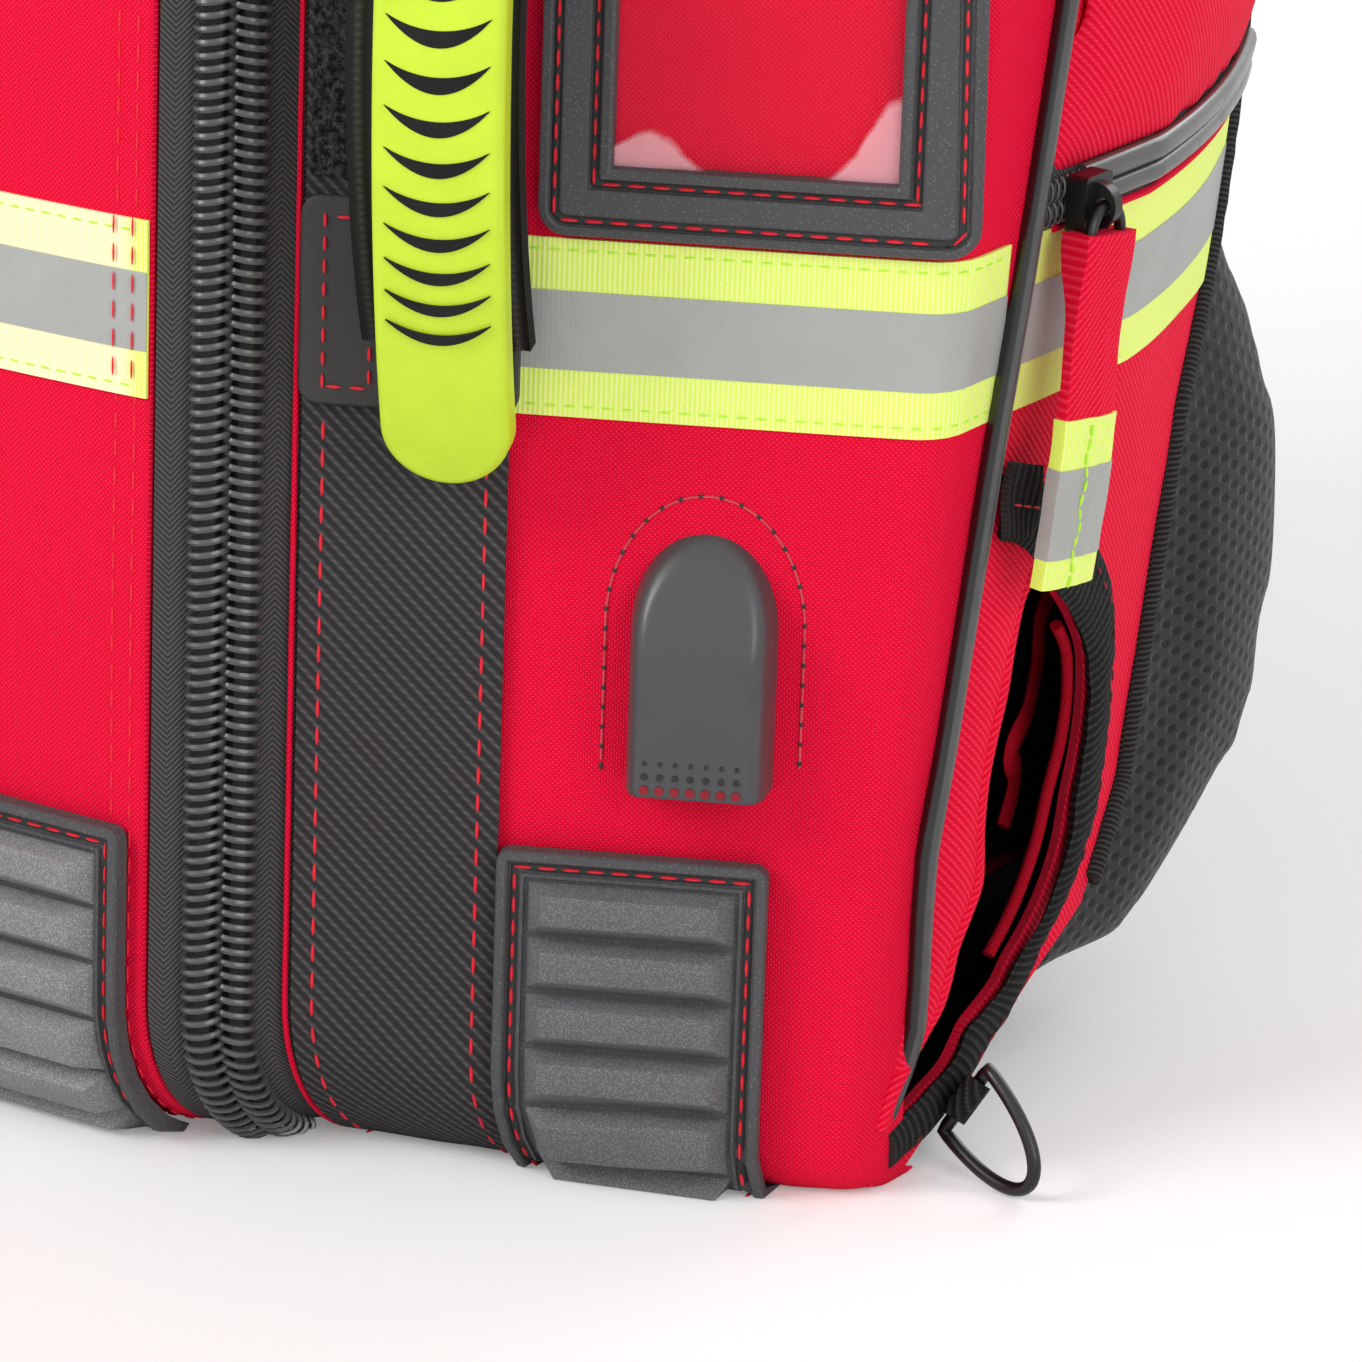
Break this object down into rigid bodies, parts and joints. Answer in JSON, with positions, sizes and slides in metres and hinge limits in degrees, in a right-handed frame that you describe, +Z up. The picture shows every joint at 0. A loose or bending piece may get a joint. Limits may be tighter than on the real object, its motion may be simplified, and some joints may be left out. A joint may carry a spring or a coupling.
{
  "type": "trauma backpack",
  "caption": "Upright emergency backpack with a fold-down zipped front lid, padded back, side carry grips, card frames, side pockets and rubber scuff guards.",
  "frame": {"origin": "on the base rest face, on the pack's centre plane, midway between the lid face and the upper back panel", "axes": "+Z up, -Y the front with the lid, +X the wearer's right-hand side seen from the front"},
  "size_m": [0.4066, 0.2938, 0.549],
  "materials": {
    "red_fabric": "coarse woven polyester",
    "black_fabric": "coated weave",
    "spacer_mesh": "open spacer mesh",
    "black_webbing": "twill webbing",
    "zip_tape": "herringbone tape",
    "black_coil": "glossy monofilament",
    "black_metal": "black enamel",
    "lime_grip": "satin soft plastic",
    "dark_rubber": "matte moulded rubber",
    "reflective_tape": "lime tape with silver stripe",
    "clear_film": "clear soft film",
    "black_plastic": "moulded",
    "socket_plastic": "moulded"
  },
  "bodies": {
    "pack": {"back_panel": "black_fabric", "base_panel": "black_fabric", "body_zip_coil": "black_coil", "body_zip_tape": "zip_tape", "corner_bumper_left": "dark_rubber", "corner_bumper_right": "dark_rubber", "d_ring_tabs": "black_webbing", "front_panel_left": "red_fabric", "front_panel_right": "red_fabric", "front_tape": "reflective_tape", "handle_anchors": "black_webbing", "handle_grip_left": "lime_grip", "handle_grip_right": "lime_grip", "handle_webbing": "black_webbing", "header_panel": "red_fabric", "id_frame_left": "dark_rubber", "id_frame_right": "dark_rubber", "id_windows": "clear_film", "ladder_locks": "black_plastic", "lower_back_panel": "black_fabric", "lumbar_pad": "spacer_mesh", "pocket_binding": "black_webbing", "rear_binding": "black_webbing", "shoulder_strap_left": "spacer_mesh", "shoulder_strap_right": "spacer_mesh", "side_panel_left": "red_fabric", "side_panel_right": "red_fabric", "side_piping": "black_coil", "side_pocket_left": "red_fabric", "side_pocket_right": "red_fabric", "side_tape": "reflective_tape", "side_zips": "zip_tape", "strap_webbing": "black_webbing", "top_handle": "black_webbing", "top_panel": "red_fabric", "upper_back_pad": "spacer_mesh", "upper_pocket_left": "red_fabric", "upper_pocket_right": "red_fabric", "usb_cover": "dark_rubber", "usb_socket": "socket_plastic", "webbing_bands": "black_webbing"},
    "lid": {"front_lid": "red_fabric", "lid_bumper": "dark_rubber", "lid_tape": "reflective_tape", "lid_zip_tape": "zip_tape", "lid_zip_coil": "black_coil"},
    "main_slider_left": {"zip_slider_left": "black_metal"},
    "main_pull_left": {"zip_pull_left": "black_metal"},
    "side_slider_left": {"side_slider_left": "black_metal"},
    "side_pull_left": {"pull_ring_left": "black_metal", "pull_tab_left": "red_fabric"},
    "d_ring_left": {"d_ring_left": "black_metal"},
    "main_slider_right": {"zip_slider_right": "black_metal"},
    "main_pull_right": {"zip_pull_right": "black_metal"},
    "side_slider_right": {"side_slider_right": "black_metal"},
    "side_pull_right": {"pull_ring_right": "black_metal", "pull_tab_right": "red_fabric"},
    "d_ring_right": {"d_ring_right": "black_metal"}
  },
  "joints": [
    {"name": "lid_hinge", "type": "hinge", "parent": "pack", "child": "lid", "pos_m": [0, -0.112, 0.0003], "axis": [1, 0, 0], "range_deg": [0, 170]},
    {"name": "main_slider_right_slide", "type": "slide", "parent": "pack", "child": "main_slider_right", "axis": [0, 0, -1], "range_m": [0, 0.45]},
    {"name": "main_pull_right_hinge", "type": "hinge", "parent": "main_slider_right", "child": "main_pull_right", "pos_m": [0.07454, -0.10909, 0.501], "axis": [-0.7324, -0.6809, 0], "range_deg": [0, 150]},
    {"name": "side_slider_right_slide", "type": "slide", "parent": "pack", "child": "side_slider_right", "axis": [0, 1, 0], "range_m": [0, 0.03]},
    {"name": "side_pull_right_hinge", "type": "hinge", "parent": "side_slider_right", "child": "side_pull_right", "pos_m": [0.1924, -0.01, 0.1829], "axis": [0, -1, 0], "range_deg": [0, 90]},
    {"name": "d_ring_right_hinge", "type": "hinge", "parent": "pack", "child": "d_ring_right", "pos_m": [0.17664, -0.00894, 0.014], "axis": [0, -1, 0], "range_deg": [-35, 95]},
    {"name": "main_slider_left_slide", "type": "slide", "parent": "pack", "child": "main_slider_left", "axis": [0, 0, -1], "range_m": [0, 0.45]},
    {"name": "main_pull_left_hinge", "type": "hinge", "parent": "main_slider_left", "child": "main_pull_left", "pos_m": [-0.07454, -0.10909, 0.501], "axis": [-0.7324, 0.6809, 0], "range_deg": [0, 150]},
    {"name": "side_slider_left_slide", "type": "slide", "parent": "pack", "child": "side_slider_left", "axis": [0, 1, 0], "range_m": [0, 0.03]},
    {"name": "side_pull_left_hinge", "type": "hinge", "parent": "side_slider_left", "child": "side_pull_left", "pos_m": [-0.1924, -0.01, 0.1829], "axis": [0, 1, 0], "range_deg": [0, 90]},
    {"name": "d_ring_left_hinge", "type": "hinge", "parent": "pack", "child": "d_ring_left", "pos_m": [-0.17664, -0.00894, 0.014], "axis": [0, 1, 0], "range_deg": [-35, 95]}
  ]
}
